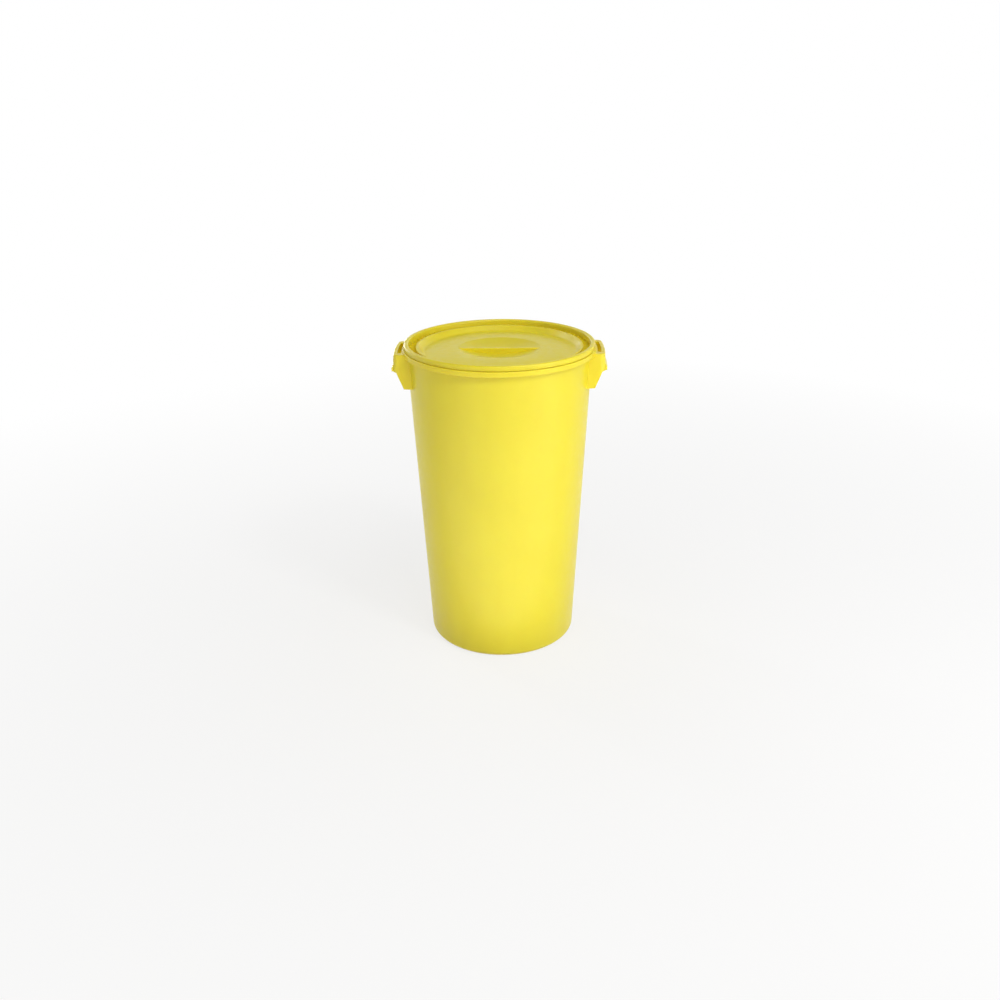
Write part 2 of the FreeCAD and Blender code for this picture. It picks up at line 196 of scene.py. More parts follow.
def lofted(lower: Sequence[Point], upper: Sequence[Point], low: float, high: float) -> BMesh:
    """Join two level outlines of as many corners into a closed solid.

    Args:
        lower: The lower outline's corners as (x, y), in millimetres.
        upper: The upper outline's corners.
        low: The lower outline's height.
        high: The upper outline's height.

    Returns:
        A new closed mesh in millimetres.
    """
    mesh = bmesh.new()
    loops: list[BMEdge] = []
    for outline, height in ((lower, low), (upper, high)):
        verts = [mesh.verts.new((x, y, height)) for x, y in outline]
        loops += [mesh.edges.new(pair) for pair in zip(verts, verts[1:] + verts[:1])]
    bmesh.ops.bridge_loops(mesh, edges=loops)
    bmesh.ops.holes_fill(mesh, edges=loops, sides=0)
    bmesh.ops.recalc_face_normals(mesh, faces=mesh.faces)
    return mesh


def soften(mesh: BMesh, wanted: Callable[[BMEdge], bool], rounding: float, facets: int) -> None:
    """Round the edges of a mesh that a test picks.

    Args:
        mesh: The mesh to work on.
        wanted: The test, true for an edge to round.
        rounding: How far the rounding reaches from the edge.
        facets: How many faces it has across.
    """
    edges = [edge for edge in mesh.edges if wanted(edge)]
    bmesh.ops.bevel(mesh, geom=edges, offset=rounding, offset_type="OFFSET", segments=facets,
                    profile=0.5, affect="EDGES", clamp_overlap=True, material=-1)


def middle(edge: BMEdge) -> Vector:
    """The middle of an edge."""
    return (edge.verts[0].co + edge.verts[1].co) / 2


def along(edge: BMEdge) -> Vector:
    """The size of an edge along each axis."""
    step = edge.verts[1].co - edge.verts[0].co
    return Vector((abs(step.x), abs(step.y), abs(step.z)))


def solid(name: str, mesh: BMesh) -> bpy.types.Object:
    """Put a mesh in a new object, and free it.

    Args:
        name: The object's name.
        mesh: The mesh, in millimetres.

    Returns:
        The object, linked to the scene.
    """
    data = bpy.data.meshes.new(name)
    mesh.to_mesh(data)
    mesh.free()
    made = bpy.data.objects.new(name, data)
    bpy.context.scene.collection.objects.link(made)
    return made


def work(base: bpy.types.Object, tool: bpy.types.Object, cut: Cut, keep: bool = False) -> None:
    """Join a solid to another one, or cut it away from it.

    Args:
        base: The object that is changed.
        tool: The object that is joined or cut away.
        cut: Which of the two.
        keep: Whether the tool stays for another use.
    """
    step = base.modifiers.new(cut.name.lower(), "BOOLEAN")
    step.operation = cut.value
    step.solver = "EXACT"
    step.object = tool
    bake_modifiers(base)
    if not keep:
        remove(tool)


def bake_modifiers(piece: bpy.types.Object) -> None:
    """Turn a piece's modifiers into its own mesh."""
    graph = bpy.context.evaluated_depsgraph_get()
    made = bpy.data.meshes.new_from_object(piece.evaluated_get(graph))
    before = piece.data
    piece.modifiers.clear()
    piece.data = made
    made.name = piece.name
    bpy.data.meshes.remove(before)


def remove(piece: bpy.types.Object) -> None:
    """Take a working solid out of the scene, with its mesh."""
    data = piece.data
    bpy.data.objects.remove(piece)
    bpy.data.meshes.remove(data)


def finish_mesh(piece: bpy.types.Object) -> None:
    """Clean a finished piece, scale it from millimetres to metres and shade it smooth."""
    mesh = bmesh.new()
    mesh.from_mesh(piece.data)
    bmesh.ops.remove_doubles(mesh, verts=mesh.verts, dist=WELD)
    bmesh.ops.dissolve_degenerate(mesh, dist=WELD, edges=mesh.edges)
    bmesh.ops.scale(mesh, vec=(MM, MM, MM), verts=mesh.verts)
    for face in mesh.faces:
        face.smooth = True
    mesh.to_mesh(piece.data)
    mesh.free()
    piece.data.set_sharp_from_angle(angle=math.radians(CREASE))
    even = piece.modifiers.new("even_shading", "WEIGHTED_NORMAL")
    even.keep_sharp = True


@dataclass(frozen=True)
class Tub:
    """The tub: one moulding of wall, base, foot ring, rim bead, collar and two handles."""

    height: float
    foot_radius: float = 160.6
    mouth_radius: float = 195.0
    wall: float = 2.4
    base_wall: float = 2.8
    base_corner: float = 12.0
    base_rise: float = 6.0
    foot_ring: float = 24.2
    rim_bead: float = 1.4
    bead_depth: float = 5.0
    edge_round: float = 0.8
    collar_reach: float = 7.4
    collar_drop: float = 8.8
    collar_depth: float = 10.4
    collar_round: float = 1.0
    root_round: float = 0.8
    base_fold: float = 3.0
    ring_round: float = 1.5
    floor_round: float = 2.0
    bead_round: float = 0.6
    fine_round: float = 0.5

    @property
    def taper(self) -> float:
        """How much the radius grows for each millimetre of height."""
        return (self.mouth_radius - self.foot_radius) / self.height

    @property
    def collar_top(self) -> float:
        """Height of the collar's top face."""
        return self.height - self.collar_drop

    @property
    def rim_outer(self) -> float:
        """Outer radius of the rim bead."""
        return self.mouth_radius + self.rim_bead

    def radius_at(self, height: float) -> float:
        """Outer radius of the tapered wall at a height."""
        return self.foot_radius + self.taper * height

    def section(self) -> list[Corner]:
        """Section of the shell, from the middle of its underside to the middle of its floor."""
        foot_inner = self.foot_radius - self.foot_ring
        collar = self.mouth_radius + self.collar_reach
        collar_foot = self.collar_top - self.collar_depth
        under = self.collar_top - self.wall
        bead_foot = self.height - self.bead_depth
        shift = self.base_wall * math.tan(math.pi / 8)
        return [
            Corner(0.0, self.base_rise),
            Corner(foot_inner - self.base_rise, self.base_rise, self.base_fold),
            Corner(foot_inner, 0.0, self.ring_round),
            Corner(self.foot_radius, 0.0, self.base_corner, facets=10),
            Corner(self.radius_at(under), under, self.root_round),
            Corner(collar - self.wall, under, self.root_round),
            Corner(collar - self.wall, collar_foot, self.fine_round),
            Corner(collar, collar_foot, self.collar_round),
            Corner(collar, self.collar_top, self.collar_round),
            Corner(self.radius_at(self.collar_top), self.collar_top, self.root_round),
            Corner(self.radius_at(bead_foot), bead_foot, self.fine_round),
            Corner(self.rim_outer, bead_foot + self.rim_bead, self.bead_round),
            Corner(self.rim_outer, self.height, self.edge_round),
            Corner(self.mouth_radius - self.wall, self.height, self.edge_round),
            Corner(self.radius_at(self.base_wall) - self.wall, self.base_wall,
                   self.base_corner - self.wall, facets=10),
            Corner(foot_inner - shift, self.base_wall, self.floor_round),
            Corner(foot_inner - self.base_rise - shift, self.base_rise + self.base_wall,
                   self.base_fold),
            Corner(0.0, self.base_rise + self.base_wall),
        ]

    def core(self) -> bpy.types.Object:
        """Solid that fills the tub up to the middle of its wall, to trim the handles with."""
        inset = self.wall / 2
        return solid("tub_core", turned([
            Corner(0.0, 0.0),
            Corner(self.foot_radius - inset, 0.0),
            Corner(self.mouth_radius - inset, self.height),
            Corner(0.0, self.height),
        ]))

    def build(self, handle: "Handle") -> bpy.types.Object:
        """Make the tub with a handle on each side.

        Args:
            handle: The handle's sizes.

        Returns:
            The finished piece, in metres.
        """
        tub = solid("tub_moulding", turned(self.section()))
        core = self.core()
        for way in Way:
            side = handle.build(way)
            work(side, core, Cut.REMOVE, keep=True)
            work(tub, side, Cut.JOIN)
        remove(core)
        finish_mesh(tub)
        return tub


@dataclass(frozen=True)
class Handle:
    """A side handle: a bowed wall with a finger lip, two cheeks and a slotted top, open below."""

    reach: float
    tub: Tub
    step: float = 3.2
    bow: float = 582.0
    width: float = 120.0
    depth: float = 35.4
    draft: float = 4.0
    corner: float = 12.0
    top_round: float = 2.4
    cheek_step: float = 1.5
    cheek_shoulder: float = 10.2
    cheek_slant: float = 34.0
    cheek_run: float = 14.6
    cheek_heel: float = 2.0
    lip_reach: float = 2.6
    lip_face: float = 6.8
    lip_fade: float = 8.0
    lip_width: float = 108.0
    slot_margin: float = 7.6
    slot_width: float = 8.0
    slot_length: float = 88.0
    slot_round: float = 2.0
    lip_round: float = 0.9
    hollow_round: float = 1.0

    @property
    def wall(self) -> float:
        """Thickness of the handle's walls."""
        return self.tub.wall

    @property
    def top(self) -> float:
        """Height of the handle's top face."""
        return self.tub.collar_top - self.step

    @property
    def low(self) -> float:
        """Height of the outer wall's lower edge."""
        return self.top - self.depth

    @property
    def lean(self) -> float:
        """How far the outer wall has leaned out at its lower edge."""
        return self.depth * math.tan(math.radians(self.draft))

    @property
    def face(self) -> float:
        """Distance from the bin's axis to the outer wall's face at the middle of its top."""
        return self.reach - self.lip_reach - self.lean

    @property
    def root(self) -> float:
        """Distance from the bin's axis to the handle's hidden inner end."""
        return self.tub.foot_radius - self.wall

    @property
    def full_depth(self) -> float:
        """Height of the whole handle, from its top to where its cheeks end on the tub."""
        return self.depth + self.cheek_step + self.cheek_slant + self.cheek_heel

    def plan(self, grow: float) -> list[Point]:
        """Outline seen from above, with its corner and bow arcs, grown outwards by an amount.

        Args:
            grow: How far the outline moves outwards, less than zero for inwards.

        Returns:
            The outline's corners as (x, y).
        """
        axis = self.face - self.bow
        half = self.width / 2 + grow
        side = self.width / 2 - self.corner
        swing = math.asin(side / (self.bow - self.corner))
        centre = axis + math.cos(swing) * (self.bow - self.corner)
        half_facets = BOW_FACETS // 2
        turns = [math.pi / 2 - (math.pi / 2 - swing) * step / CORNER_FACETS
                 for step in range(CORNER_FACETS + 1)]
        swings = [swing * (1 - step / half_facets) for step in range(1, half_facets + 1)]
        small, large = self.corner + grow, self.bow + grow
        quarter = [(centre + math.cos(turn) * small, side + math.sin(turn) * small)
                   for turn in turns]
        quarter += [(axis + math.cos(turn) * large, math.sin(turn) * large) for turn in swings]
        upper = [(self.root, half), *quarter]
        return upper + [(x, -y) for x, y in reversed(upper[:-1])]

    def drafted(self, inset: float, top: float, depth: float) -> BMesh:
        """Solid of the plan outline that widens downwards by the draft.

        Args:
            inset: How far the outline at the top is drawn in.
            top: The height of its top.
            depth: How far down it goes.

        Returns:
            A new closed mesh in millimetres.
        """
        spread = depth * math.tan(math.radians(self.draft))
        return lofted(self.plan(spread - inset), self.plan(-inset), top - depth, top)

    def soften_top(self, mesh: BMesh, top: float, rounding: float, facets: int) -> None:
        """Round the edges along the top of a drafted solid, apart from its hidden inner end.

        Args:
            mesh: The solid.
            top: The height of its top.
            rounding: How far the rounding reaches from the edge.
            facets: How many faces it has across.
        """
        soften(mesh, lambda edge: middle(edge).z > top - NEAR
               and max(vert.co.x for vert in edge.verts) > self.root + NEAR, rounding, facets)

    def block(self) -> bpy.types.Object:
        """The handle's outer form, rounded along its top."""
        mesh = self.drafted(0.0, self.top, self.full_depth)
        self.soften_top(mesh, self.top, self.top_round, 5)
        return solid("handle_block", mesh)

    def cheek_cut(self) -> bpy.types.Object:
        """What is cut away below the outer wall, which leaves the cheeks their slanted edges."""
        out = self.face + self.lean
        shoulder = self.low - self.cheek_step
        tip = shoulder - self.cheek_slant
        heel = tip - self.cheek_heel
        under = heel - self.depth
        return solid("handle_cheek_cut", prism([
            (out + self.depth, self.low),
            (self.face, self.low),
            (out - self.cheek_shoulder, shoulder),
            (out - self.cheek_shoulder - self.cheek_run, tip),
            (self.root, heel),
            (self.root - self.depth, heel),
            (self.root - self.depth, under),
            (out + self.depth, under),
        ], self.width))

    def lip(self) -> bpy.types.Object:
        """The finger lip along the lower edge of the outer wall."""
        out = self.face + self.lean
        buried = out - self.wall / 2
        mesh = swept([
            (buried, self.low),
            (out + self.lip_reach, self.low),
            (out + self.lip_reach, self.low + self.lip_face),
            (self.face, self.low + self.lip_face + self.lip_fade),
            (buried, self.low + self.lip_face),
        ], self.face - self.bow, math.asin(self.lip_width / 2 / self.bow))
        highest = self.low + self.lip_face + NEAR
        soften(mesh, lambda edge: all(vert.co.z < highest for vert in edge.verts)
               and all(vert.co.x > out - BURIED for vert in edge.verts)
               and edge.calc_face_angle(0.0) > math.radians(LIP_TURN), self.lip_round, 3)
        return solid("handle_lip", mesh)

    def hollow(self) -> bpy.types.Object:
        """The space for the fingers inside the handle."""
        top = self.top - self.wall
        mesh = self.drafted(self.wall, top, self.full_depth)
        self.soften_top(mesh, top, self.hollow_round, 3)
        return solid("handle_hollow", mesh)

    def slot_cutter(self) -> bpy.types.Object:
        """The slot through the handle's top, which follows its bow."""
        outer = self.face - self.slot_margin
        inner = outer - self.slot_width
        mesh = swept([
            (inner, self.top - 2 * self.wall),
            (outer, self.top - 2 * self.wall),
            (outer, self.top + self.wall),
            (inner, self.top + self.wall),
        ], self.face - self.bow, math.asin(self.slot_length / 2 / self.bow))
        soften(mesh, lambda edge: along(edge).z > LONG
               and edge.calc_face_angle(0.0) > SQUARE_TURN, self.slot_round, 5)
        return solid("handle_slot", mesh)

    def build(self, way: Way) -> bpy.types.Object:
        """Make the handle on one side of the bin, in millimetres.

        Args:
            way: The side.

        Returns:
            The working solid, to be trimmed and joined to the tub.
        """
        handle = self.block()
        work(handle, self.hollow(), Cut.REMOVE)
        work(handle, self.cheek_cut(), Cut.REMOVE)
        work(handle, self.slot_cutter(), Cut.REMOVE)
        work(handle, self.lip(), Cut.JOIN)
        if way is Way.LEFT:
            mesh = bmesh.new()
            mesh.from_mesh(handle.data)
            bmesh.ops.scale(mesh, vec=(-1, 1, 1), verts=mesh.verts)
            bmesh.ops.recalc_face_normals(mesh, faces=mesh.faces)
            mesh.to_mesh(handle.data)
            mesh.free()
        return handle


@dataclass(frozen=True)
class Lid:
    """The lid: skirt and plug over the rim, ribbed channel, ring ridge, panel and dished grip."""

    crest: float
    tub: Tub
    seat_clearance: float = 0.5
    skirt_gap: float = 0.5
    crest_round: float = 3.6
    channel_drop: float = 18.0
    channel_width: float = 14.0
    channel_round: float = 1.5
    ridge_drop: float = 5.7
    ridge_width: float = 5.9
    ridge_round: float = 2.0
    ridge_slope: float = 50.0
    panel_drop: float = 17.8
    panel_crown: float = 5.3
    panel_edge_round: float = 8.0
    panel_margin: float = 6.0
    rib_count: int = 72
    rib_thickness: float = 1.4
    rib_inner_drop: float = 5.5
    rib_outer_drop: float = 8.2
    grip_radius: float = 86.0
    grip_depth: float = 12.5
    grip_edge_round: float = 3.0
    grip_bar: float = 10.0
    grip_bar_wall: float = 2.2
    grip_bar_round: float = 1.6
    grip_bar_end: float = 18.0
    grip_under_round: float = 6.0
    panel_under_round: float = 5.0
    ridge_under_round: float = 0.3
    channel_under_round: float = 1.0
    plug_round: float = 1.2
    seat_round: float = 0.4
    skirt_inner_round: float = 0.5
    skirt_foot_round: float = 0.7
    rib_round: float = 0.35

    @property
    def wall(self) -> float:
        """Thickness of the lid, which closes on the top of the rim."""
        return self.crest - self.tub.height

    @property
    def channel_floor(self) -> float:
        """Height of the channel's floor."""
        return self.tub.height - self.channel_drop

    @property
    def ridge_top(self) -> float:
        """Height of the top of the ring ridge."""
        return self.tub.height - self.ridge_drop

    @property
    def panel_top(self) -> float:
        """Height of the panel's flat middle."""
        return self.tub.height - self.panel_drop + self.panel_crown

    @property
    def ridge_outer(self) -> float:
        """Outer radius of the ring ridge."""
        return self.plug_radius(self.channel_floor) - self.wall - self.channel_width

    def plug_radius(self, height: float) -> float:
        """Outer radius of the plug wall at a height, which follows the tub's taper."""
        top = self.tub.mouth_radius - self.tub.wall - self.seat_clearance
        return top - self.tub.taper * (self.tub.height - height)

    def section(self) -> list[Corner]:
        """Section of the lid, from the middle of its underside to the middle of its top."""
        wall = self.wall
        slope = math.radians(self.ridge_slope)
        shift = wall * math.tan(slope / 2)
        ridge_inner = self.ridge_outer - self.ridge_width
        panel_edge = self.tub.height - self.panel_drop
        panel_outer = ridge_inner - (self.ridge_top - panel_edge) / math.tan(slope)
        panel_flat = self.grip_radius + self.panel_margin
        skirt = self.tub.rim_outer + self.seat_clearance
        skirt_foot = self.tub.collar_top + self.skirt_gap
        rim = self.tub.height
        floor = self.panel_top - self.grip_depth
        under_floor = self.channel_floor - wall
        under_middle = Corner(0.0, floor - wall)
        under_edge = Corner(self.grip_radius, self.panel_top - wall, self.grip_under_round,
                            facets=6)
        under_flat = Corner(panel_flat, self.panel_top - wall)
        under_fall = Corner(panel_outer + shift, panel_edge - wall, self.panel_under_round)
        over_fall = Corner(panel_outer, panel_edge, self.panel_edge_round, facets=8)
        over_flat = Corner(panel_flat, self.panel_top)
        over_edge = Corner(self.grip_radius, self.panel_top, self.grip_edge_round, facets=6)
        over_middle = Corner(0.0, floor)
        return [
            under_middle,
            *arc_corners(under_middle, under_edge, 0.0, facets=14),
            under_edge,
            under_flat,
            *arc_corners(under_flat, under_fall, panel_flat, facets=8),
            under_fall,
            Corner(ridge_inner + shift, self.ridge_top - wall, self.ridge_under_round, facets=2),
            Corner(self.ridge_outer - wall, self.ridge_top - wall, self.ridge_under_round,
                   facets=2),
            Corner(self.ridge_outer - wall, under_floor, self.channel_under_round),
            Corner(self.plug_radius(under_floor), under_floor, self.plug_round),
            Corner(self.plug_radius(rim), rim, self.seat_round, facets=3),
            Corner(skirt, rim, self.seat_round, facets=3),
            Corner(skirt, skirt_foot, self.skirt_inner_round, facets=3),
            Corner(skirt + wall, skirt_foot, self.skirt_foot_round, facets=4),
            Corner(skirt + wall, self.crest, self.crest_round, facets=10),
            Corner(self.plug_radius(rim) - wall, self.crest, self.crest_round, facets=10),
            Corner(self.plug_radius(self.channel_floor) - wall, self.channel_floor,
                   self.channel_round),
            Corner(self.ridge_outer, self.channel_floor, self.channel_round),
            Corner(self.ridge_outer, self.ridge_top, self.ridge_round, facets=7),
            Corner(ridge_inner, self.ridge_top, self.ridge_round, facets=7),
            over_fall,
            *arc_corners(over_fall, over_flat, panel_flat, facets=10),
            over_flat,
            over_edge,
            *arc_corners(over_edge, over_middle, 0.0, facets=16),
            over_middle,
        ]

    def ribs(self) -> bpy.types.Object:
        """The radial ribs across the channel, as one ring of small plates."""
        buried = self.wall / 2
        inner = self.ridge_outer - buried
        foot = self.channel_floor - buried
        outer_top = self.tub.height - self.rib_outer_drop
        inner_top = self.ridge_top - self.rib_inner_drop
        mesh = prism([
            (inner, foot),
            (self.plug_radius(self.channel_floor) - buried, foot),
            (self.plug_radius(outer_top) - buried, outer_top),
            (inner, inner_top),
        ], self.rib_thickness / 2)
        soften(mesh, lambda edge: middle(edge).z > inner_top and along(edge).x > LONG,
               self.rib_round, 2)
        bmesh.ops.spin(mesh, geom=mesh.verts[:] + mesh.edges[:] + mesh.faces[:], cent=(0, 0, 0),
                       axis=(0, 0, 1), angle=math.tau, steps=self.rib_count, use_duplicate=True)
        bmesh.ops.remove_doubles(mesh, verts=mesh.verts, dist=MERGE)
        return solid("lid_ribs", mesh)

    def bar(self) -> bpy.types.Object:
        """The straight bar across the dished recess, flush with the panel."""
        left = Corner(-self.grip_radius, self.panel_top)
        bottom = Corner(0.0, self.panel_top - self.grip_depth - self.wall / 2)
        right = Corner(self.grip_radius, self.panel_top)
        outline = [left, *arc_corners(left, bottom, 0.0, facets=12), bottom,
                   *arc_corners(bottom, right, 0.0, facets=12), right]
        mesh = prism([(corner.radius, corner.height) for corner in outline], self.grip_bar / 2)
        soften(mesh, lambda edge: middle(edge).z > self.panel_top - NEAR
               and along(edge).x > self.grip_radius, self.grip_bar_round, 5)
        return solid("grip_bar", mesh)

    def bar_hollow(self) -> bpy.types.Object:
        """The hollow under the bar, open to the lid's underside."""
        half = self.grip_radius - self.grip_bar_end
        top = self.panel_top - self.wall
        low = self.panel_top - self.grip_depth - 2 * self.wall
        mesh = prism([(-half, top), (half, top), (half, low), (-half, low)],
                     self.grip_bar / 2 - self.grip_bar_wall)
        return solid("grip_bar_hollow", mesh)

    def build(self) -> bpy.types.Object:
        """Make the whole lid.

        Returns:
            The finished piece, in metres.
        """
        lid = solid("lid_moulding", turned(self.section()))
        work(lid, self.bar(), Cut.JOIN)
        work(lid, self.bar_hollow(), Cut.REMOVE)
        work(lid, self.ribs(), Cut.JOIN)
        finish_mesh(lid)
        return lid


class Nodes:
    """Short calls for making and joining the nodes of one tree."""

    def __init__(self, tree: bpy.types.NodeTree) -> None:
        """Keep the tree that the nodes go into."""
        self.tree = tree

    def add(self, kind: str, **settings: object) -> bpy.types.Node:
        """Add a node.

        Args:
            kind: The node's type, without its leading ShaderNode.
            settings: Its properties.

        Returns:
            The node.
        """
        node = self.tree.nodes.new("ShaderNode" + kind)
        for name, value in settings.items():
            setattr(node, name, value)
        return node

    def join(self, source: Socket, target: Socket) -> None:
        """Link one socket to another."""
        self.tree.links.new(source, target)

    def noise(self, vector: Socket, scale: float, detail: float) -> Socket:
        """Add a noise texture.

        Args:
            vector: Where its coordinates come from.
            scale: How many cells it has in a metre.
            detail: How many finer layers it has.

        Returns:
            Its value, about 0.5 on average.
        """
        node = self.add("TexNoise")
        node.inputs["Scale"].default_value = scale
        node.inputs["Detail"].default_value = detail
        self.join(vector, node.inputs["Vector"])
        return node.outputs["Fac"]

    def ranged(self, value: Socket, source: Point, target: Point = (0.0, 1.0)) -> Socket:
        """Map a value from one range to another, held at its ends.

        Args:
            value: The value.
            source: The range that it comes in.
            target: The range that it goes to.

        Returns:
            The mapped value.
        """
        node = self.add("MapRange")
        for name, number in zip(("From Min", "From Max", "To Min", "To Max"), (*source, *target)):
            node.inputs[name].default_value = number
        self.join(value, node.inputs["Value"])
        return node.outputs["Result"]

    def maths(self, operation: str, first: Socket, second: Socket | float = 0.0) -> Socket:
        """Add a sum, product or other operation on one or two values.

        Args:
            operation: Its name, such as ADD or MULTIPLY.
            first: The first value.
            second: The second value, or a number.

        Returns:
            The result.
        """
        node = self.add("Math", operation=operation)
        self.join(first, node.inputs[0])
        if isinstance(second, Socket):
            self.join(second, node.inputs[1])
        else:
            node.inputs[1].default_value = second
        return node.outputs[0]

    def blend(self, factor: Socket, low: Socket | float, high: Socket | float) -> Socket:
        """Blend between two values.

        Args:
            factor: 0 for the first value, 1 for the second.
            low: The first value, a socket or a number.
            high: The second value.

        Returns:
            The blended value.
        """
        node = self.add("Mix", data_type="FLOAT")
        self.join(factor, node.inputs["Factor"])
        for name, value in (("A", low), ("B", high)):
            if isinstance(value, Socket):
                self.join(value, node.inputs[name])
            else:
                node.inputs[name].default_value = value
        return node.outputs["Result"]


@dataclass(frozen=True)
class Skin:
    """The skin of moulded plastic: slow drifts of tone, a haze of roughness and a fine relief.

    A scale is in noise cells to the metre, and a detail is how many finer layers a noise has.
    """

    name: str
    drift_scale: float = 7.0
    drift_detail: float = 2.0
    drift_share: float = 0.6
    streak_scale: float = 26.0
    streak_detail: float = 4.0
    streak_share: float = 0.4
    streak_flow: float = 0.18
    tone_range: Point = (0.35, 0.65)
    haze_scale: float = 90.0
    haze_detail: float = 6.0
    haze_range: Point = (0.4, 0.62)
    wave_scale: float = 16.0
    wave_detail: float = 1.0
    wave_share: float = 0.35
    peel_scale: float = 620.0
    peel_detail: float = 2.0
    peel_share: float = 0.015

    def make(self) -> bpy.types.NodeTree:
        """Make the node group that every moulding shares.

        Returns:
            The group: it takes coordinates, and gives the tone, the haze and the height.
        """
        group = bpy.data.node_groups.new(self.name, "ShaderNodeTree")
        group.interface.new_socket("Coordinates", in_out="INPUT", socket_type="NodeSocketVector")
        for name in ("Tone", "Haze", "Height"):
            group.interface.new_socket(name, in_out="OUTPUT", socket_type="NodeSocketFloat")
        given = group.nodes.new("NodeGroupInput").outputs["Coordinates"]
        out = group.nodes.new("NodeGroupOutput")
        nodes = Nodes(group)
        nodes.join(self.tone(nodes, given), out.inputs["Tone"])
        haze = nodes.noise(given, self.haze_scale, self.haze_detail)
        nodes.join(nodes.ranged(haze, self.haze_range), out.inputs["Haze"])
        nodes.join(self.height(nodes, given), out.inputs["Height"])
        return group

    def tone(self, nodes: Nodes, given: Socket) -> Socket:
        """Slow drifts of tone, with streaks that run up and down the piece."""
        drift = nodes.noise(given, self.drift_scale, self.drift_detail)
        flow = nodes.add("Mapping")
        flow.inputs["Scale"].default_value = (1.0, 1.0, self.streak_flow)
        nodes.join(given, flow.inputs["Vector"])
        streaks = nodes.noise(flow.outputs[0], self.streak_scale, self.streak_detail)
        both = nodes.maths("ADD", nodes.maths("MULTIPLY", drift, self.drift_share),
                           nodes.maths("MULTIPLY", streaks, self.streak_share))
        return nodes.ranged(both, self.tone_range)

    def height(self, nodes: Nodes, given: Socket) -> Socket:
        """Broad waves from the mould, with a fine orange peel on them."""
        waves = nodes.noise(given, self.wave_scale, self.wave_detail)
        peel = nodes.noise(given, self.peel_scale, self.peel_detail)
        return nodes.maths("ADD", nodes.maths("MULTIPLY", waves, self.wave_share),
                           nodes.maths("MULTIPLY", peel, self.peel_share))


@dataclass(frozen=True)
class Plastic:
    """A coloured, slightly translucent moulded plastic."""

    name: str
    deep: Place
    pale: Place
    smooth: float
    hazy: float
    relief: float
    refraction: float = 1.5
    scatter: float = 0.35
    scatter_radius: Place = (1.0, 0.75, 0.12)
    scatter_scale: float = 0.006

    def make(self, skin: bpy.types.NodeTree) -> bpy.types.Material:
        """Make the material.

        Args:
            skin: The shared group of the moulded skin.

        Returns:
            The material.
        """
        finish = bpy.data.materials.new(self.name)
        finish.use_nodes = True
        shader = finish.node_tree.nodes["Principled BSDF"]
        nodes = Nodes(finish.node_tree)
        place = nodes.add("TexCoord").outputs["Object"]
        surface = nodes.add("Group")
        surface.node_tree = skin
        nodes.join(place, surface.inputs["Coordinates"])
        colour = nodes.add("Mix", data_type="RGBA")
        colour.inputs["A"].default_value = (*self.deep, 1.0)
        colour.inputs["B"].default_value = (*self.pale, 1.0)
        nodes.join(surface.outputs["Tone"], colour.inputs["Factor"])
        nodes.join(colour.outputs["Result"], shader.inputs["Base Color"])
        haze = nodes.ranged(surface.outputs["Haze"], (0.0, 1.0), (self.smooth, self.hazy))
        nodes.join(haze, shader.inputs["Roughness"])
        bump = nodes.add("Bump")
        bump.inputs["Strength"].default_value = 1.0
        bump.inputs["Distance"].default_value = self.relief
        nodes.join(surface.outputs["Height"], bump.inputs["Height"])
        nodes.join(bump.outputs["Normal"], shader.inputs["Normal"])
        shader.inputs["IOR"].default_value = self.refraction
        shader.inputs["Subsurface Weight"].default_value = self.scatter
        shader.inputs["Subsurface Radius"].default_value = self.scatter_radius
        shader.inputs["Subsurface Scale"].default_value = self.scatter_scale
        return finish


@dataclass(frozen=True)
class SoftBox:
    """A rectangular lamp that the camera doesn't see, placed in metres and rated in watts."""

    name: str
    place: Place
    aim: Place
    size: Point
    watts: float
    warmth: float = 0.0

    def make(self) -> None:
        """Put the lamp in the scene, facing its aim."""
        data = bpy.data.lights.new(self.name, "AREA")
        data.shape = "RECTANGLE"
        data.size, data.size_y = self.size
        data.energy = self.watts
        data.color = (1.0, 1.0 - self.warmth / 2, 1.0 - self.warmth)
        lamp = bpy.data.objects.new(self.name, data)
        bpy.context.scene.collection.objects.link(lamp)
        facing = (Vector(self.aim) - Vector(self.place)).to_track_quat("-Z", "Y")
        lamp.matrix_world = Matrix.Translation(self.place) @ facing.to_matrix().to_4x4()
        lamp.visible_camera = False


LAMPS = (
    SoftBox("key", (2.1, -2.4, 3.5), (0.0, 0.0, 0.35), (0.8, 0.8), 54.0),
    SoftBox("side", (1.6, -0.85, 0.8), (0.0, 0.0, 0.3), (1.1, 0.7), 8.0),
    SoftBox("fill", (-2.4, -2.4, 0.7), (0.0, 0.0, 0.2), (1.8, 1.4), 5.0, warmth=0.12),
    SoftBox("top", (0.3, -1.3, 2.5), (0.0, 0.0, 0.66), (0.4, 0.4), 8.0),
    SoftBox("rim", (-1.6, 1.3, 2.0), (0.0, 0.0, 0.66), (0.25, 0.7), 6.0),
    SoftBox("back", (-1.5, 2.7, 0.6), (0.0, 0.0, 0.2), (1.4, 1.0), 20.0),
    SoftBox("board", (0.3, -0.9, 0.01), (0.3, -0.9, 1.0), (2.8, 1.3), 9.0),
)


